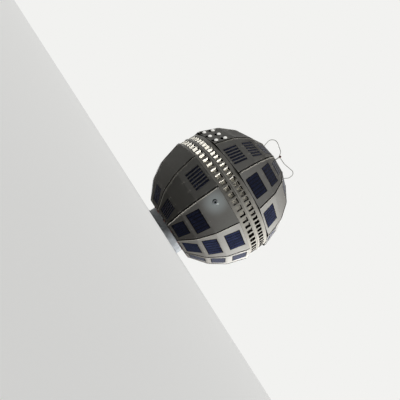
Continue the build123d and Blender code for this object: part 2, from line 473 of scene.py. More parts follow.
# A softer mirror beside the sensor, its milky glint a painted highlight.
painted_highlight_silver = metal("clouded silver, painted highlight beside the sensor", "c3c9c4", "d3d8d4", 3 * mm, 0.4)
print("the antenna's metal is", wire_silver.name)

# %% [markdown]
# A construction solid whose shape is right keeps it and only gets a finish.
# Its name says which: one table pairs the start of a name with a material.

# %% Finish the construction solids
finishes = (
    # start of the node's name, material
    ("panels_", panel_coat),
    ("cap_", panel_coat),
    ("shell_", seam_black),
    ("solar_strips_", strip_resin),
    ("belt_rib", rib_aluminium),
    ("belt_", belt_enamel),
    ("launch_hoop", hoop_aluminium),
    ("hoop_spacers", brown_resin),
    ("antenna_mast", wire_silver),
    ("antenna_wire_", wire_silver),
    ("antenna_hub", brown_resin),
    ("antenna_insulators", brown_resin),
    ("light_detectors", dome_silver),
    ("sensor_collar", hoop_aluminium),
    ("equipment_canister", canister_metal),
)
for name, solid in nodes.items():
    material = [finish for start, finish in finishes if name.startswith(start)][0]
    solid.data.materials.clear()
    solid.data.materials.append(material)
print("finished", len(nodes), "solids")

# %% [markdown]
# Cells, linings and screws repeat hundreds of times.  Geometry Nodes place one
# shape on many points: a guide mesh holds the points, and the attribute
# "outward" on each says which way is out.  The tree is run once and the result
# kept as a plain mesh, so the finished piece doesn't depend on the tree.
# A modifier knows its inputs by identifiers, such as Socket_2, so the names that
# the tree gives them are looked up first.

# %% Helpers for Geometry Nodes
facing_share = 0.5  # a face looks along an axis where its normal's share of it is more


def start_tree(name, sizes):
    """A tree with a geometry input and named sizes; returns it with its two ends."""
    tree = bpy.data.node_groups.new(name, "GeometryNodeTree")
    tree.interface.new_socket("Geometry", in_out="OUTPUT", socket_type="NodeSocketGeometry")
    tree.interface.new_socket("Geometry", in_out="INPUT", socket_type="NodeSocketGeometry")
    for label in sizes:
        tree.interface.new_socket(label, in_out="INPUT", socket_type="NodeSocketFloat")
    start = tree.nodes.new("NodeGroupInput")
    end = tree.nodes.new("NodeGroupOutput")
    return tree, start, end


def place_on_points(tree, points, shape, along, material, end, scale=(1, 1, 1)):
    """Put a shape on points, Z out and Y along a direction, and close the tree."""
    outward = add(
        tree, "GeometryNodeInputNamedAttribute", {"Name": "outward"}, data_type="FLOAT_VECTOR"
    )
    tilt = add(
        tree, "FunctionNodeAlignRotationToVector",
        {"Vector": outward.outputs["Attribute"]}, axis="Z",
    )
    turn = add(
        tree, "FunctionNodeAlignRotationToVector",
        {"Rotation": tilt.outputs[0], "Vector": along}, axis="Y", pivot_axis="Z",
    )
    many = add(
        tree, "GeometryNodeInstanceOnPoints",
        {"Points": points, "Instance": shape, "Rotation": turn.outputs[0], "Scale": scale},
    )
    real = add(tree, "GeometryNodeRealizeInstances", {"Geometry": many.outputs[0]})
    if not material:  # the shape already carries its materials
        tree.links.new(real.outputs[0], end.inputs[0])
        return
    coated = add(tree, "GeometryNodeSetMaterial", {"Geometry": real.outputs[0], "Material": material})
    tree.links.new(coated.outputs[0], end.inputs[0])


def guide_mesh(name, points, outwards, edges=(), **vectors):
    """Points with their outward directions, joined by edges where given."""
    mesh = bpy.data.meshes.new(name)
    mesh.from_pydata(points, edges, [])
    for label, values in {"outward": outwards, **vectors}.items():
        attribute = mesh.attributes.new(label, "FLOAT_VECTOR", "POINT")
        attribute.data.foreach_set("vector", [value for vector in values for value in vector])
    return mesh


def grow(name, guide, tree, sizes):
    """Run a tree on a guide and keep the result as a plain mesh that rides on the body."""
    piece = bpy.data.objects.new(name, guide)
    bpy.context.scene.collection.objects.link(piece)
    modifier = piece.modifiers.new("grow", "NODES")
    modifier.node_group = tree
    for item in tree.interface.items_tree:
        if item.in_out == "INPUT" and item.name in sizes:
            modifier[item.identifier] = sizes[item.name]
    graph = bpy.context.evaluated_depsgraph_get()
    mesh = bpy.data.meshes.new_from_object(
        piece.evaluated_get(graph), preserve_all_data_layers=True, depsgraph=graph
    )
    piece.modifiers.clear()
    piece.data = mesh
    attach(piece, body)
    print(name, len(mesh.polygons), "faces")
    return piece


# %% [markdown]
# A strip holds ten cells in a row, each a thin plate with a chamfered cover.
# The guide is one edge for each strip, from its first cell to its last.  The
# tree turns the edge into a curve, sets ten points on it and puts a cell on
# each.  The cell is a box whose top face is pushed out and drawn in a little,
# which costs ten faces where a bevel would cost many more.

# %% Shape of a cell
cell_base = 0.35 * mm
cell_cover = 0.25 * mm
cover_share = 0.92


def cell_tree():
    """A tree that puts cells in a row along each edge of the guide."""
    sizes = ("Cells", "Cell width", "Cell length", "Base", "Cover")
    tree, start, end = start_tree("cells along strips", sizes)
    base = start.outputs["Base"]
    curve = add(tree, "GeometryNodeMeshToCurve", {"Mesh": start.outputs["Geometry"]})
    points = add(
        tree, "GeometryNodeCurveToPoints",
        {"Curve": curve.outputs[0], "Count": start.outputs["Cells"]}, mode="COUNT",
    )
    size = add(
        tree, "ShaderNodeCombineXYZ",
        {"X": start.outputs["Cell width"], "Y": start.outputs["Cell length"], "Z": base},
    )
    box = add(tree, "GeometryNodeMeshCube", {"Size": size.outputs[0]})
    normal = add(tree, "GeometryNodeInputNormal")
    axes = add(tree, "ShaderNodeSeparateXYZ", {"Vector": normal.outputs[0]})
    is_top = add(
        tree, "FunctionNodeCompare", {0: axes.outputs["Z"], 1: facing_share}, operation="GREATER_THAN"
    )
    cover = {"Selection": is_top.outputs[0], "Offset Scale": start.outputs["Cover"]}
    raised = add(tree, "GeometryNodeExtrudeMesh", {"Mesh": box.outputs["Mesh"], **cover})
    drawn = add(
        tree, "GeometryNodeScaleElements",
        {"Geometry": raised.outputs["Mesh"], "Selection": raised.outputs["Top"], "Scale": cover_share},
    )
    # The UV map goes from zero to one over the cell, so it starts at a corner.
    place = add(tree, "GeometryNodeInputPosition")
    share = add(
        tree, "ShaderNodeVectorMath",
        {0: place.outputs[0], 1: size.outputs[0]}, operation="DIVIDE",
    )
    corner = add(
        tree, "ShaderNodeVectorMath", {0: share.outputs[0], 1: (0.5, 0.5, 0)}, operation="ADD"
    )
    mapped = add(
        tree, "GeometryNodeStoreNamedAttribute",
        {"Geometry": drawn.outputs[0], "Name": "UVMap", "Value": corner.outputs[0]},
        data_type="FLOAT2", domain="CORNER",
    )
    half = add(tree, "ShaderNodeMath", {0: base, 1: 0.5}, operation="MULTIPLY")
    lift = add(tree, "ShaderNodeCombineXYZ", {"Z": half.outputs[0]})
    lifted = add(
        tree, "GeometryNodeTransform",
        {"Geometry": mapped.outputs[0], "Translation": lift.outputs[0]},
    )
    place_on_points(
        tree, points.outputs["Points"], lifted.outputs[0], points.outputs["Tangent"],
        cell_silicon, end,
    )
    return tree


cells = cell_tree()
print("a cell stands", round((cell_base + cell_cover) / mm, 2), "mm over its strip")

# %% [markdown]
# An array covers a place of its own size in each row.  Its strips fill either
# most of their pitch or a little over half of it, so some arrays look closed and
# others look like bars.

# %% Solar cells
cells_per_strip = 10
strips_per_panel = 6
strip_shares = {"s": 0.60, "c": 0.84}
array_rows = (
    # start above the row's lower edge, height, width
    (18.5 * mm, 88 * mm, 120 * mm),
    (11.0 * mm, 84 * mm, 118 * mm),
    (13.5 * mm, 100 * mm, 77 * mm),
)
strip_top = 0.6 * mm
cell_gap = 1.0 * mm
cell_margin = 0.8 * mm
end_margin = 3.5 * mm
side_names = {1: "upper", -1: "lower"}


def strip_ends(side, row, column, cell_pitch):
    """The middle of the first and last cell of every strip on one panel."""
    start_height, height, width = array_rows[row]
    facet = facet_frame(side, row, column)
    ends = []
    for strip in range(strips_per_panel):
        across = (strip - (strips_per_panel - 1) / 2) * width / strips_per_panel
        low = start_height + end_margin + cell_pitch / 2
        high = start_height + height - end_margin - cell_pitch / 2
        ends += [facet @ Vector((across, along, strip_top)) for along in (low, high)]
    return ends, [facet.col[2].xyz] * len(ends)


for side, row, letters in panel_map:
    start_height, height, width = array_rows[row]
    cell_pitch = (height - 2 * end_margin) / cells_per_strip
    for letter, share in strip_shares.items():
        points, outwards = [], []
        for column in range(column_count):
            if letters[column] == letter:
                ends, directions = strip_ends(side, row, column, cell_pitch)
                points += ends
                outwards += directions
        name = f"solar_cells_{side_names[side]}_row_{row + 1}_{letter}"
        edges = [(number, number + 1) for number in range(0, len(points), 2)]
        guide = guide_mesh(name, points, outwards, edges)
        sizes = {
            "Cells": cells_per_strip,
            "Cell width": width / strips_per_panel * share - 2 * cell_margin,
            "Cell length": cell_pitch - cell_gap,
            "Base": cell_base,
            "Cover": cell_cover,
        }
        grow(name, guide, cells, sizes)

# %% [markdown]
# Where the strips stand close together, the pocket under them holds a tray of
# black resin, so the array reads as one dark field.  Where they are spaced, the
# coat of the panel shows between them.  A tray is one thin plate for each panel,
# set just under the strips.  Its point also has an attribute "along", for the
# way that the plate's height runs.

# %% Resin trays under the close strips
tray_thickness = 0.5 * mm
pocket_depth = 1.0 * mm
tray_margin = 1.9 * mm


def plate_tree(material):
    """A tree that puts a thin plate on every point of the guide."""
    tree, start, end = start_tree("thin plates", ("Width", "Height", "Thickness"))
    size = add(
        tree, "ShaderNodeCombineXYZ",
        {"X": start.outputs["Width"], "Y": start.outputs["Height"], "Z": start.outputs["Thickness"]},
    )
    plate = add(tree, "GeometryNodeMeshCube", {"Size": size.outputs[0]})
    along = add(
        tree, "GeometryNodeInputNamedAttribute", {"Name": "along"}, data_type="FLOAT_VECTOR"
    )
    place_on_points(
        tree, start.outputs["Geometry"], plate.outputs["Mesh"], along.outputs["Attribute"],
        material, end,
    )
    return tree


trays = plate_tree(strip_resin)
for side, row, letters in panel_map:
    start_height, height, width = array_rows[row]
    closed = [column for column in range(column_count) if letters[column] == "c"]
    facets = [facet_frame(side, row, column) for column in closed]
    middle = Vector((0, start_height + height / 2, tray_thickness / 2 - pocket_depth))
    points = [facet @ middle for facet in facets]
    outwards = [facet.col[2].xyz for facet in facets]
    guide = guide_mesh("points", points, outwards, along=[facet.col[1].xyz for facet in facets])
    sizes = {
        "Width": width + 2 * tray_margin,
        "Height": height + 2 * tray_margin,
        "Thickness": tray_thickness,
    }
    grow(f"array_trays_{side_names[side]}_row_{row + 1}", guide, trays, sizes)

# %% [markdown]
# One long edge of each panel has a low bare lip, and the bright aluminium draws
# a thin light line beside each dark seam.  The other long edge carries a black
# rubber gasket that stands a little proud, so the dark line still shows where
# the ball turns away.  Lip and gasket are bars whose tops slope down, made from
# a box whose far top edge is moved down.  The box is a metre long, so that the
# attribute "scale" of a point can give it the length of that panel's edge.

# %% Shape of a bar with a sloping top
far_edge_share = -0.8  # height of the far top edge over the middle, as a share of the near one's


def edge_tree(material):
    """A tree that lays a bar with a sloping top along every edge of a panel."""
    tree, start, end = start_tree("bars along edges", ("Width", "Height"))
    size = add(
        tree, "ShaderNodeCombineXYZ",
        {"X": start.outputs["Width"], "Y": 1.0, "Z": start.outputs["Height"]},
    )
    bar = add(tree, "GeometryNodeMeshCube", {"Size": size.outputs[0]})
    place = add(tree, "GeometryNodeInputPosition")
    axes = add(tree, "ShaderNodeSeparateXYZ", {"Vector": place.outputs[0]})
    is_top, is_far = [
        add(tree, "FunctionNodeCompare", {0: axes.outputs[axis], 1: 0.0}, operation="GREATER_THAN")
        for axis in ("Z", "X")
    ]
    far_top = add(tree, "FunctionNodeBooleanMath", {0: is_top.outputs[0], 1: is_far.outputs[0]})
    lowered = add(
        tree, "ShaderNodeVectorMath",
        {0: place.outputs[0], 1: (1, 1, far_edge_share)}, operation="MULTIPLY",
    )
    sloped = add(
        tree, "GeometryNodeSetPosition",
        {"Geometry": bar.outputs["Mesh"], "Selection": far_top.outputs[0], "Position": lowered.outputs[0]},
    )
    along, scale = [
        add(tree, "GeometryNodeInputNamedAttribute", {"Name": name}, data_type="FLOAT_VECTOR")
        for name in ("along", "scale")
    ]
    place_on_points(
        tree, start.outputs["Geometry"], sloped.outputs[0], along.outputs["Attribute"],
        material, end, scale.outputs["Attribute"],
    )
    return tree


print("the far top edge lies at", far_edge_share, "of the near one's height")

# %% [markdown]
# The long edges of a panel lean toward each other, so a bar's two ends are found
# first, and it is put on the middle between them.  Beside the belt, where the
# ball is widest, the bars start a little higher, so they don't widen the ball.

# %% Bare lips and gaskets along the seams
column_seam = 6 * mm
row_seam = 2.4 * mm
edge_start = 12 * mm
edge_width = 4.6 * mm
edge_height = 2.0 * mm
gasket_width = 3.5 * mm
gasket_top = 2.5 * mm
gasket_bottom = -2.5 * mm


def panel_half_width(row, along):
    """Half the width of a panel at a height along it, less half the seam."""
    reach = row_edges[row].lerp(row_edges[row + 1], along / facet_length(row)).x
    return reach * tan(half_turn) - column_seam / 2


def grow_bars(name, width, top, bottom, inset, material):
    """A bar along one long edge of every panel; inset turns half the width into its place."""
    points, outwards, alongs, scales = [], [], [], []
    for side, row, letters in panel_map:
        low = row_seam if row else edge_start
        high = facet_length(row) - row_seam
        for column in range(column_count):
            facet = facet_frame(side, row, column)
            foot, head = [
                facet @ Vector((side * inset(panel_half_width(row, along)), along, (top + bottom) / 2))
                for along in (low, high)
            ]
            points.append((foot + head) / 2)
            outwards.append(facet.col[2].xyz)
            alongs.append((head - foot) * side)
            scales.append((1, (head - foot).length, 1))
    guide = guide_mesh("points", points, outwards, along=alongs, scale=scales)
    grow(name, guide, edge_tree(material), {"Width": width, "Height": top - bottom})


grow_bars(
    "panel_edges", edge_width, edge_height, 0,
    lambda half: edge_width / 2 - half, edge_aluminium,
)
grow_bars(
    "panel_gaskets", gasket_width, gasket_top, gasket_bottom,
    lambda half: half + gasket_width / 2, gasket_rubber,
)

# %% [markdown]
# The narrow seam between two rows of a column is filled flush with sealant and
# sprayed over with the panels, so it is no more than a fine groove.

# %% Sealant in the seams between rows
bead_thickness = 2 * mm
bead_depth = 0.3 * mm
bead_play = 0.1 * mm
beads = plate_tree(panel_coat)
for side, side_name in side_names.items():
    for row in (0, 1):
        length = facet_length(row)
        points, outwards, alongs = [], [], []
        for column in range(column_count):
            below, above = facet_frame(side, row, column), facet_frame(side, row + 1, column)
            outward = (below.col[2].xyz + above.col[2].xyz).normalized()
            points.append(above.translation - outward * (bead_depth + bead_thickness / 2))
            outwards.append(outward)
            alongs.append(below.col[1].xyz)
        guide = guide_mesh("points", points, outwards, along=alongs)
        sizes = {"Width": 2 * panel_half_width(row, length), "Height": row_seam - bead_play}
        sizes["Thickness"] = bead_thickness
        grow(f"seam_sealant_{side_name}_{row + 1}", guide, beads, sizes)

# %% [markdown]
# Each port is lined with an enamelled tray.  The tray is a box: its front face
# is drawn in to leave a rim, then pushed back to make the hollow.  The rim is
# thin at the sides and thick at the ends, which sets the height of the opening.
# Faces are chosen by their normal and place: one side wall turns cream as painted
# light, the wall across from it and the ceiling black as painted shade, and the
# rest keeps the enamel grey.
# They are coated before the tray is repeated, while their places are measured
# from its own middle.

# %% Shape of a port lining
lining_wall = 0.7 * mm
# Painted light on one side wall, painted shade on the wall across and on the ceiling.
wall_coats = (("X", 1, lit_wall_cream), ("X", -1, shaded_wall_black), ("Y", -1, shaded_wall_black))


def draw_in(tree, mesh, selection, start):
    """Inset one face by its walls: extrude it by nothing, then shrink and shift it."""
    flat = add(
        tree, "GeometryNodeExtrudeMesh",
        {"Mesh": mesh, "Selection": selection, "Offset Scale": 0.0},
    )
    low, high = start.outputs["Low wall"], start.outputs["High wall"]
    sides = add(tree, "ShaderNodeMath", {0: start.outputs["Wall"], 1: 2}, operation="MULTIPLY")
    ends = add(tree, "ShaderNodeMath", {0: low, 1: high}, operation="ADD")
    unlike = add(tree, "ShaderNodeMath", {0: low, 1: high}, operation="SUBTRACT")
    half = add(tree, "ShaderNodeMath", {0: unlike.outputs[0], 1: 0.5}, operation="MULTIPLY")
    walls = add(tree, "ShaderNodeCombineXYZ", {"X": sides.outputs[0], "Y": ends.outputs[0]})
    face = add(
        tree, "ShaderNodeCombineXYZ",
        {"X": start.outputs["Width"], "Y": start.outputs["Height"], "Z": 1},
    )
    part = {0: walls.outputs[0], 1: face.outputs[0]}
    lost = add(tree, "ShaderNodeVectorMath", part, operation="DIVIDE")
    kept = add(tree, "ShaderNodeVectorMath", {0: (1, 1, 1), 1: lost.outputs[0]}, operation="SUBTRACT")
    shift = add(tree, "ShaderNodeCombineXYZ", {"Y": half.outputs[0]})
    place = add(tree, "GeometryNodeInputPosition")
    scaled = add(
        tree, "ShaderNodeVectorMath",
        {0: place.outputs[0], 1: kept.outputs[0], 2: shift.outputs[0]}, operation="MULTIPLY_ADD",
    )
    moved = add(
        tree, "GeometryNodeSetPosition",
        {"Geometry": flat.outputs["Mesh"], "Selection": flat.outputs["Top"], "Position": scaled.outputs[0]},
    )
    return moved.outputs[0], flat.outputs["Top"]


def coat_walls(tree, shape, normal_axes):
    """Coat the inner walls: they face along an axis and stand on its other side."""
    spot = add(tree, "GeometryNodeInputPosition")
    place = add(tree, "ShaderNodeSeparateXYZ", {"Vector": spot.outputs[0]})
    for axis, hand, material in wall_coats:
        facing = add(
            tree, "ShaderNodeMath", {0: normal_axes.outputs[axis], 1: hand}, operation="MULTIPLY"
        )
        behind = add(
            tree, "ShaderNodeMath", {0: place.outputs[axis], 1: -hand}, operation="MULTIPLY"
        )
        turned, beyond = [
            add(tree, "FunctionNodeCompare", {0: node.outputs[0], 1: limit}, operation="GREATER_THAN")
            for node, limit in ((facing, facing_share), (behind, 0.0))
        ]
        wall = add(tree, "FunctionNodeBooleanMath", {0: turned.outputs[0], 1: beyond.outputs[0]})
        shape = add(
            tree, "GeometryNodeSetMaterial",
            {"Geometry": shape, "Selection": wall.outputs[0], "Material": material},
        ).outputs[0]
    return shape


def lining_tree():
    """A tree that sets a coated tray into every port, its mouth at the point."""
    sizes = ("Width", "Height", "Depth", "Wall", "Low wall", "High wall")
    tree, start, end = start_tree("port lining", sizes)
    depth = start.outputs["Depth"]
    size = add(
        tree, "ShaderNodeCombineXYZ",
        {"X": start.outputs["Width"], "Y": start.outputs["Height"], "Z": depth},
    )
    box = add(tree, "GeometryNodeMeshCube", {"Size": size.outputs[0]}).outputs["Mesh"]
    normal = add(tree, "GeometryNodeInputNormal")
    axes = add(tree, "ShaderNodeSeparateXYZ", {"Vector": normal.outputs[0]})
    is_front = add(
        tree, "FunctionNodeCompare", {0: axes.outputs["Z"], 1: facing_share}, operation="GREATER_THAN"
    )
    rim, inner = draw_in(tree, box, is_front.outputs[0], start)
    inward = {0: start.outputs["Wall"], 1: depth}
    hollow_depth = add(tree, "ShaderNodeMath", inward, operation="SUBTRACT")
    hollow = add(
        tree, "GeometryNodeExtrudeMesh",
        {"Mesh": rim, "Selection": inner, "Offset Scale": hollow_depth.outputs[0]},
    )
    coated = add(
        tree, "GeometryNodeSetMaterial",
        {"Geometry": hollow.outputs["Mesh"], "Material": port_floor},
    )
    shape = coat_walls(tree, coated.outputs[0], axes)
    half = add(tree, "ShaderNodeMath", {0: depth, 1: -0.5}, operation="MULTIPLY")
    back = add(tree, "ShaderNodeCombineXYZ", {"Z": half.outputs[0]})
    sunk = add(tree, "GeometryNodeTransform", {"Geometry": shape, "Translation": back.outputs[0]})
    place_on_points(tree, start.outputs["Geometry"], sunk.outputs[0], (0, 0, 1), None, end)
    return tree


linings = lining_tree()
print("linings have walls of", round(lining_wall / mm, 1), "mm")

# %% [markdown]
# A short pin on the floor of each port feeds it.  It is a cone cut off near its
# tip, with few sides, because there are a hundred and fifty of them.

# %% Shape of a feed pin
pin_sides = 8
pin_radius = 1.8 * mm
pin_height = 8 * mm
pin_tip_share = 0.45


def pin_tree():
    """A tree that stands a pin on the floor of every port."""
    tree, start, end = start_tree("feed pins", ("Floor depth", "Pin radius", "Pin height"))
    foot = start.outputs["Pin radius"]
    tip = add(tree, "ShaderNodeMath", {0: foot, 1: pin_tip_share}, operation="MULTIPLY")
    ends = {"Radius Bottom": foot, "Radius Top": tip.outputs[0], "Depth": start.outputs["Pin height"]}
    pin = add(tree, "GeometryNodeMeshCone", {"Vertices": pin_sides, **ends}, fill_type="NGON")
    inward = {0: start.outputs["Floor depth"], 1: -1}
    floor = add(tree, "ShaderNodeMath", inward, operation="MULTIPLY")
    back = add(tree, "ShaderNodeCombineXYZ", {"Z": floor.outputs[0]})
    sunk = add(
        tree, "GeometryNodeTransform", {"Geometry": pin.outputs["Mesh"], "Translation": back.outputs[0]}
    )
    place_on_points(tree, start.outputs["Geometry"], sunk.outputs[0], (0, 0, 1), port_floor, end)
    return tree


feed_pins = pin_tree()
print("a pin is", round(pin_height / mm), "mm high")

# %% [markdown]
# The ports of a belt are equally spaced, so a count and the azimuth of one of
# them place them all.  A lining reaches a little past the belt's face, so its
# rim is what shows round the opening.

# %% Port linings and pins
belt_radius = 417 * mm
port_depth = 22 * mm
lining_gap = 0.2 * mm
rim_reach = 0.3 * mm
port_rows = (
    # belt, side, count, azimuth of one port, width, height, gap from the waist,
    # walls of the lining at the port's end by the waist and at its other end
    ("upper", 1, 84, -84.35, 24.0 * mm, 41.0 * mm, 8.0 * mm, (3.3 * mm, 6.6 * mm)),
    ("lower", -1, 66, -84.9, 29.5 * mm, 41.0 * mm, 11.0 * mm, (1.5 * mm, 4.8 * mm)),
)
for belt, side, count, azimuth, width, height, gap, end_walls in port_rows:
    points, outwards = [], []
    level = waist + side * (gap + height / 2)
    for number in range(count):
        turn = radians(azimuth + 360 / count * number)
        ahead = Vector((cos(turn), sin(turn), 0))
        points.append(ahead * (belt_radius + rim_reach) + Vector((0, 0, level)))
        outwards.append(ahead)
    depth = port_depth + rim_reach - lining_gap
    low_wall, high_wall = end_walls[::side]
    lining_sizes = {
        "Width": width - 2 * lining_gap,
        "Height": height - 2 * lining_gap,
        "Depth": depth,
        "Wall": lining_wall,
        "Low wall": low_wall,
        "High wall": high_wall,
    }
    guide = guide_mesh("points", points, outwards)
    grow(f"port_linings_{belt}", guide, linings, lining_sizes)
    pin_sizes = {"Floor depth": depth - lining_wall, "Pin radius": pin_radius, "Pin height": pin_height}
    guide = guide_mesh("points", points, outwards)
    grow(f"port_pins_{belt}", guide, feed_pins, pin_sizes)

# %% [markdown]
# Countersunk screws hold each panel to the frame: three along each long side
# and two between them at each end.  A screw head is a low disc with a small
# socket, made once by a cone that a second, smaller one is cut into by an
# inset, so that it has few faces.

# %% Shape of a screw head
screw_radius = 2.6 * mm
screw_height = 0.5 * mm
screw_sides = 10
screw_top_share = 0.8
socket_share = 0.5
socket_depth = 0.3 * mm


def screw_tree():
    """A tree that puts a screw head on every point of the guide."""
    sizes = ("Head radius", "Head height", "Socket depth")
    tree, start, end = start_tree("panel screws", sizes)
    foot = start.outputs["Head radius"]
    rim = add(tree, "ShaderNodeMath", {0: foot, 1: screw_top_share}, operation="MULTIPLY")
    ends = {"Radius Bottom": foot, "Radius Top": rim.outputs[0], "Depth": start.outputs["Head height"]}
    head = add(tree, "GeometryNodeMeshCone", {"Vertices": screw_sides, **ends}, fill_type="NGON")
    socket = add(
        tree, "GeometryNodeExtrudeMesh",
        {"Mesh": head.outputs["Mesh"], "Selection": head.outputs["Top"], "Offset Scale": 0.0},
    )
    top = socket.outputs["Top"]
    small = add(
        tree, "GeometryNodeScaleElements",
        {"Geometry": socket.outputs["Mesh"], "Selection": top, "Scale": socket_share},
    )
    inward = add(tree, "ShaderNodeMath", {0: start.outputs["Socket depth"], 1: -1}, operation="MULTIPLY")
    sunk = add(
        tree, "GeometryNodeExtrudeMesh",
        {"Mesh": small.outputs[0], "Selection": top, "Offset Scale": inward.outputs[0]},
    )
    place_on_points(tree, start.outputs["Geometry"], sunk.outputs["Mesh"], (0, 0, 1), screw_steel, end)
    return tree


screws = screw_tree()
print("a screw head is", round(2 * screw_radius / mm, 1), "mm across")

# %% [markdown]
# The rows of screws follow the long sides of a panel, which lean toward each
# other, so their places across depend on how far along the panel they stand.

# %% Panel screws
screw_inset = 7 * mm


def screw_places(row):
    """Places of the screws on one panel, in its own plane."""
    length = facet_length(row)
    places = []
    for share in (0.0, 0.5, 1.0):
        along = screw_inset + share * (length - 2 * screw_inset)
        across = panel_half_width(row, along) - screw_inset
        places += [(-across, along), (across, along)]
        if share != 0.5:
            places += [(-across / 3, along), (across / 3, along)]
    return places


points, outwards = [], []
for side, row, letters in panel_map:
    for column in range(column_count):
        facet = facet_frame(side, row, column)
        for across, along in screw_places(row):
            points.append(facet @ Vector((across, along, 0)))
            outwards.append(facet.col[2].xyz)
guide = guide_mesh("points", points, outwards)
head_sizes = {
    "Head radius": screw_radius,
    "Head height": screw_height,
    "Socket depth": socket_depth,
}
grow("panel_screws", guide, screws, head_sizes)

# %% [markdown]
# The detectors are silvered glass domes.  Each stands at the edge of a black
# dish, set off to one side, whose black is painted shade on that side of the
# dome.  Both are bodies of revolution, so an outline of a few points is spun
# about the axis.  A point on the axis makes a pole, and the two ends of an
# outline lie on the axis, so the solid is closed.

# %% Spinning an outline
round_steps = 32


def spin_outline(mesh, outline, matrix):
    """Add the solid that an outline of (radius, height) pairs makes round an axis."""
    rings = []
    for radius, height in outline:
        if radius == 0:
            rings.append([mesh.verts.new(matrix @ Vector((0, 0, height)))])
            continue
        ring = []
        for step in range(round_steps):
            turn = 2 * pi * step / round_steps
            spot = Vector((radius * cos(turn), radius * sin(turn), height))
            ring.append(mesh.verts.new(matrix @ spot))
        rings.append(ring)
    for low, high in zip(rings, rings[1:]):
        for step in range(round_steps):
            corners = [low[step % len(low)], low[(step + 1) % round_steps % len(low)]]
            corners += [high[(step + 1) % round_steps % len(high)], high[step % len(high)]]
            mesh.faces.new(list(dict.fromkeys(corners)))


def spun_piece(name, outline, matrices, material):
    """One mesh of the same turned shape at several places."""
    mesh = bmesh.new()
    for matrix in matrices:
        spin_outline(mesh, outline, matrix)
    bmesh.ops.recalc_face_normals(mesh, faces=mesh.faces)
    data = bpy.data.meshes.new(name)
    mesh.to_mesh(data)
    mesh.free()
    data.materials.append(material)
    data.shade_smooth()
    piece = bpy.data.objects.new(name, data)
    bpy.context.scene.collection.objects.link(piece)
    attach(piece, body)
    print(name, len(data.polygons), "faces")
    return piece


def dome_outline(radius, foot, rise):
    """A quarter circle, or a flatter arc, on a straight foot from zero up."""
    arc = [radians(angle) for angle in (0, 18, 36, 54, 72)]
    outline = [(0, 0), (radius, 0)]
    outline += [(radius * cos(angle), foot + rise * sin(angle)) for angle in arc]
    return outline + [(0, foot + rise)]


# %% [markdown]
# The six domes stand in two rows of three on one panel of the upper half.  They
# take the place of the plain detectors of the construction model.  The dishes
# are sunk a little into the panel, so no gap shows under their edge.

# %% Light detectors
detector_places = ((-76, 30), (0, 30), (76, 30), (-76, 88), (0, 88), (76, 88))  # in mm
detector_radius = 12.5 * mm
detector_height = 11 * mm
detector_foot = 1.2 * mm
dish_radius = 14 * mm
dish_height = 1.0 * mm
dish_upright = 0.7 * mm
dish_chamfer = 0.5 * mm
dish_rim = 1.6 * mm
dish_slope = 0.8 * mm
dish_floor = 0.4 * mm
# The dish is shifted to one side of its dome, so its black shows as painted shade there.
dish_shade_shift = (-9 * mm, -12 * mm)
sunk_edge = 0.2 * mm

detector_facet = facet_frame(1, 0, 1)
spots_on_panel = [
    detector_facet @ Matrix.Translation((across * mm, along * mm, 0))
    for across, along in detector_places
]
outline = dome_outline(detector_radius, detector_foot, detector_height - detector_foot)
domes = spun_piece("detector_domes", outline, spots_on_panel, dome_silver)
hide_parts("light_detectors")
dish_spots = [spot @ Matrix.Translation((*dish_shade_shift, 0)) for spot in spots_on_panel]
dish_outline = [
    (0, -sunk_edge), (dish_radius, -sunk_edge), (dish_radius, dish_upright),
    (dish_radius - dish_chamfer, dish_height), (dish_radius - dish_rim, dish_height),
    (dish_radius - dish_rim - dish_slope, dish_floor), (0, dish_floor),
]
spun_piece("detector_dishes", dish_outline, dish_spots, dish_shade_black)

# %% [markdown]
# The sensor looks out through a round window in its panel.  A shallow lens
# fills the window inside the aluminium collar.  It starts under the panel's
# face, so only its crown is seen.

# %% Sensor lens
lens_radius = 6.2 * mm
lens_foot = -3 * mm
lens_shoulder = -1 * mm
lens_rise = 1.5 * mm
sensor_spot = sensor_facet @ Matrix.Translation((*sensor_place, lens_foot))
lens_outline = dome_outline(lens_radius, lens_shoulder - lens_foot, lens_rise)
spun_piece("sensor_lens", lens_outline, [sensor_spot], lens_dark)

# %% [markdown]
# A dark disc round the collar, set off to one side, is painted shade beside the
# sensor, and a small clouded mirror dome stands beside it as a painted highlight.

# %% Shade and mirror beside the sensor
shade_place = (51 * mm, 57 * mm)
shade_radius = 13 * mm
shade_height = 0.8 * mm
shade_upright = 0.48 * mm
shade_chamfer = 0.6 * mm
mirror_place = (30 * mm, 51.5 * mm)
mirror_radius = 5 * mm
mirror_height = 4 * mm
mirror_foot = 1 * mm

shade_spot = sensor_facet @ Matrix.Translation((*shade_place, 0))
shade_outline = [
    (0, -sunk_edge), (shade_radius, -sunk_edge), (shade_radius, shade_upright),
    (shade_radius - shade_chamfer, shade_height), (0, shade_height),
]
spun_piece("sensor_shade", shade_outline, [shade_spot], painted_shade_grey)
mirror_spot = sensor_facet @ Matrix.Translation((*mirror_place, 0))
outline = dome_outline(mirror_radius, mirror_foot, mirror_height - mirror_foot)
spun_piece("sensor_mirror", outline, [mirror_spot], painted_highlight_silver)

# %% [markdown]
# Each antenna wire is one stiff wire bent at three places.  Its course is a
# line of five corners, and the Fillet Curve node rounds each corner with an
# arc, as a bending tool does.  A circle swept along the course gives the wire.

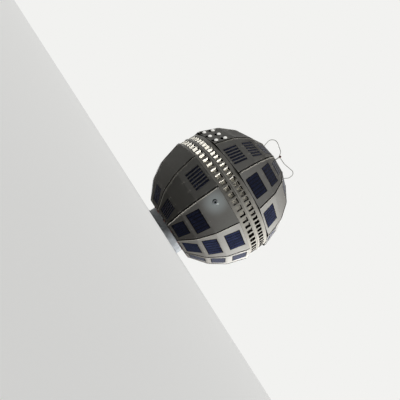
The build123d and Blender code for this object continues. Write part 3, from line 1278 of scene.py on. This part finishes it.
# %% Antenna wires
wire_radius = 2.4 * mm
cap_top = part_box("cap_upper")[1].z
wire_courses = (
    # azimuth, then each corner's reach from the axis, height over the cap and bend radius, in mm
    (-165.0, ((6.0, 133.4, 0), (26.0, 158.0, 24), (112.0, 172.0, 38), (139.0, 128.0, 44), (105.9, 11.0, 0))),
    (15.0, ((6.0, 131.2, 0), (60.0, 137.0, 70), (156.0, 175.0, 24), (162.0, 118.0, 44), (106.5, 11.0, 0))),
)
wire_sides = 16
bend_steps = 12


def wire_tree():
    """A tree that rounds the corners of a course and sweeps the wire along it."""
    tree, start, end = start_tree("bent wire", ("Wire radius",))
    curve = add(tree, "GeometryNodeMeshToCurve", {"Mesh": start.outputs["Geometry"]})
    bend = add(tree, "GeometryNodeInputNamedAttribute", {"Name": "bend"}, data_type="FLOAT")
    course = add(
        tree, "GeometryNodeFilletCurve",
        {"Curve": curve.outputs[0], "Radius": bend.outputs["Attribute"], "Count": bend_steps},
        mode="POLY",
    )
    section = add(
        tree, "GeometryNodeCurvePrimitiveCircle",
        {"Resolution": wire_sides, "Radius": start.outputs["Wire radius"]},
    )
    wire = add(
        tree, "GeometryNodeCurveToMesh",
        {"Curve": course.outputs[0], "Profile Curve": section.outputs[0], "Fill Caps": True},
    )
    smooth = add(tree, "GeometryNodeSetShadeSmooth", {"Geometry": wire.outputs[0]})
    real = add(tree, "GeometryNodeRealizeInstances", {"Geometry": smooth.outputs[0]})
    coated = add(
        tree, "GeometryNodeSetMaterial", {"Geometry": real.outputs[0], "Material": wire_silver}
    )
    tree.links.new(coated.outputs[0], end.inputs[0])
    return tree


bent_wire = wire_tree()
thickness = {"Wire radius": wire_radius}
for number, (azimuth, course) in enumerate(wire_courses, 1):
    turn = radians(azimuth)
    ahead = Vector((cos(turn), sin(turn), 0))
    points = [
        ahead * (reach * mm) + Vector((0, 0, cap_top + height * mm))
        for reach, height, bend in course
    ]
    edges = [(step, step + 1) for step in range(len(points) - 1)]
    guide = guide_mesh("course", points, [ahead] * len(points), edges)
    bends = guide.attributes.new("bend", "FLOAT", "POINT")
    bends.data.foreach_set("value", [bend * mm for reach, height, bend in course])
    wire = grow(f"antenna_wire_smooth_{number}", guide, bent_wire, thickness)
    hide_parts(f"antenna_wire_{number}")

# %% [markdown]
# The photograph looks up at the ball from below, so the camera stands at floor
# level.  Its distance and lens come from the size of the ball in the picture,
# and the camera is rolled, because the ball's axis leans to the right there.

# %% Camera
picture_width = 400
view_azimuth = radians(6.03)
view_rise = radians(-12.18)
view_distance = 4.578 * ball_radius
view_roll = radians(57.27)
ball_pixels = 66.55
ball_centre_pixel = (218.65, 196.2)
sensor_width = 36.0
near_limit = 1 * mm

camera_data = bpy.data.cameras.new("camera")
camera = bpy.data.objects.new("camera", camera_data)
bpy.context.scene.collection.objects.link(camera)
back = Vector((
    sin(view_azimuth) * cos(view_rise), -cos(view_azimuth) * cos(view_rise), sin(view_rise)
))
camera.location = Vector((0, 0, waist)) + back * view_distance
level_look = back.to_track_quat("Z", "Y").to_matrix().to_4x4()
camera.matrix_world = Matrix.Translation(camera.location) @ level_look @ Matrix.Rotation(view_roll, 4, "Z")
focal_pixels = ball_pixels * view_distance / ball_radius
camera_data.sensor_width = sensor_width
camera_data.lens = focal_pixels / picture_width * sensor_width
camera_data.shift_x = (picture_width / 2 - ball_centre_pixel[0]) / picture_width
camera_data.shift_y = (ball_centre_pixel[1] - picture_width / 2) / picture_width
camera_data.clip_start = near_limit
bpy.context.scene.camera = camera
print("camera height", round(camera.location.z, 3), "m, lens", round(camera_data.lens, 1), "mm")

# %% [markdown]
# A pale floor and a pale surround keep the studio plain.  Both glow only for
# the rays that show them, so they don't light the ball.  The floor's glow is
# dimmed by what stands over it, so a soft shadow lies under the ball.

# %% Floor and world
floor_size = 12
floor_cloud = 400 * mm
floor_glow = 0.66
shade_reach = 2.0
world_light = 0.04


def shown_rays(tree):
    """One for the rays that show the surround: to the camera, in a mirror or through glass."""
    path = add(tree, "ShaderNodeLightPath")
    shown = path.outputs["Is Camera Ray"]
    for label in ("Is Glossy Ray", "Is Transmission Ray"):
        rays = {0: shown, 1: path.outputs[label]}
        shown = add(tree, "ShaderNodeMath", rays, operation="MAXIMUM").outputs[0]
    return shown


def make_floor():
    """Painted boards, smooth and matt, that reach far past the view."""
    bpy.ops.mesh.primitive_plane_add(size=floor_size, location=(0, 0, 0))
    floor = bpy.context.object
    floor.name = "floor"
    material, tree, shader = start_material("pale studio floor", Roughness=0.9)
    colour, _ = blotches(tree, floor_cloud, "9a9a99", "a0a09f")
    tree.links.new(colour, shader.inputs["Base Color"])
    open_sky = add(tree, "ShaderNodeAmbientOcclusion", {"Distance": shade_reach}, samples=16)
    lit = {0: open_sky.outputs["AO"], 1: floor_glow}
    strength = add(tree, "ShaderNodeMath", lit, operation="MULTIPLY")
    glow = {0: shown_rays(tree), 1: strength.outputs[0]}
    shown = add(tree, "ShaderNodeMath", glow, operation="MULTIPLY")
    shader.inputs["Emission Color"].default_value = linear("f4f4f2")
    tree.links.new(shown.outputs[0], shader.inputs["Emission Strength"])
    floor.data.materials.append(material)
    floor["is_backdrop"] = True


def make_world():
    """A surround that shows nearly white and lights the ball very weakly."""
    world = bpy.data.worlds.new("studio")
    bpy.context.scene.world = world
    world.use_nodes = True
    tree = world.node_tree
    tree.nodes.clear()
    light = add(tree, "ShaderNodeBackground", {"Color": linear("ffffff"), "Strength": world_light})
    view = add(tree, "ShaderNodeBackground", {"Color": linear("f2f2f0"), "Strength": 1.0})
    both = {0: shown_rays(tree), 1: light.outputs[0], 2: view.outputs[0]}
    mix = add(tree, "ShaderNodeMixShader", both)
    add(tree, "ShaderNodeOutputWorld", {"Surface": mix.outputs[0]})


make_floor()
make_world()
print("floor of", floor_size, "m and a plain surround")

# %% [markdown]
# Every lamp is a square soft box with a grid, which holds its light on the ball
# and off the floor.  A strong lamp on the right gives the ball its bright and
# shaded sides.  It casts no shadows, so it reaches the cream walls in the ports
# of the far side, and its beam is the narrowest, so it leaves no bright pool in
# front of it.  Weak lamps show the shaded side from above, the right limb, the
# back, the top and the left.  All but the back lamp leave no highlights.

# %% Lamps
wide_beam = radians(50)
narrow_beam = radians(38)
lamps = (
    # name, azimuth in degrees, height, distance and size in metres, power in watts, beam,
    # whether it casts shadows and whether it leaves highlights
    ("key", 3, 0.25, 2.6, 0.5, 7.1, narrow_beam, False, False),
    ("right limb", 40, 0.36, 2.6, 0.7, 1.0, wide_beam, True, False),
    ("back", 101, 0.45, 2.6, 0.8, 3.0, wide_beam, True, True),
    ("top", 80, 2.2, 2.2, 0.8, 1.6, wide_beam, True, False),
    ("left", 176, 0.25, 2.6, 0.5, 0.5, wide_beam, True, False),
    ("shaded side", -64, 1.75, 2.3, 0.8, 1.2, wide_beam, True, False),
)
for name, azimuth, height, distance, size, power, beam, shadow, shine in lamps:
    data = bpy.data.lights.new(name, "AREA")
    data.shape = "SQUARE"
    data.size = size
    data.energy = power
    data.use_shadow = shadow
    data.spread = beam
    lamp = bpy.data.objects.new(name, data)
    bpy.context.scene.collection.objects.link(lamp)
    lamp.visible_glossy = shine
    turn = radians(azimuth)
    lamp.location = (distance * cos(turn), distance * sin(turn), height)
    aim = Vector((0, 0, waist)) - lamp.location
    lamp.rotation_euler = aim.to_track_quat("-Z", "Y").to_euler()
bpy.context.scene.view_settings.view_transform = "Standard"
print(len(lamps), "lamps,", round(sum(lamp[5] for lamp in lamps), 1), "W in all")

# %% [markdown]
# Last, the size of the dressed model is set beside the size of the solids.

# %% Sizes
dressed_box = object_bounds()
sizes = {
    "solids": [list(corner) for corner in solid_box],
    "dressed": [list(corner) for corner in dressed_box],
}
